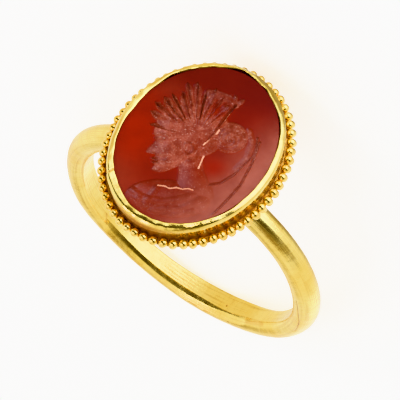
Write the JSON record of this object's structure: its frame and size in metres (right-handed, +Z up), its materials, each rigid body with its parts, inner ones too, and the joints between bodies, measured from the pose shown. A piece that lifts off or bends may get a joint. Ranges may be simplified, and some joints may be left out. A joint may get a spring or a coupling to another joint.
{
  "type": "carnelian intaglio finger ring",
  "caption": "Gold finger ring with a round-wire hoop and a granulated oval bezel that holds a carnelian engraved with a draped bust, lying on its side.",
  "frame": {"origin": "on the surface that the ring lies on, under the middle of the ring's box", "axes": "+Z up from the surface, the ring lying on its side on the foot of its hoop and on the granules under its bezel; -Y toward the side that the stone faces; +X to the right seen from there"},
  "size_m": [0.0206, 0.0238, 0.0143],
  "materials": {
    "worn_gold": "satin",
    "carnelian_stone": "gloss"
  },
  "bodies": {
    "root": {"gold_mount": "worn_gold", "carnelian": "carnelian_stone"}
  },
  "joints": []
}
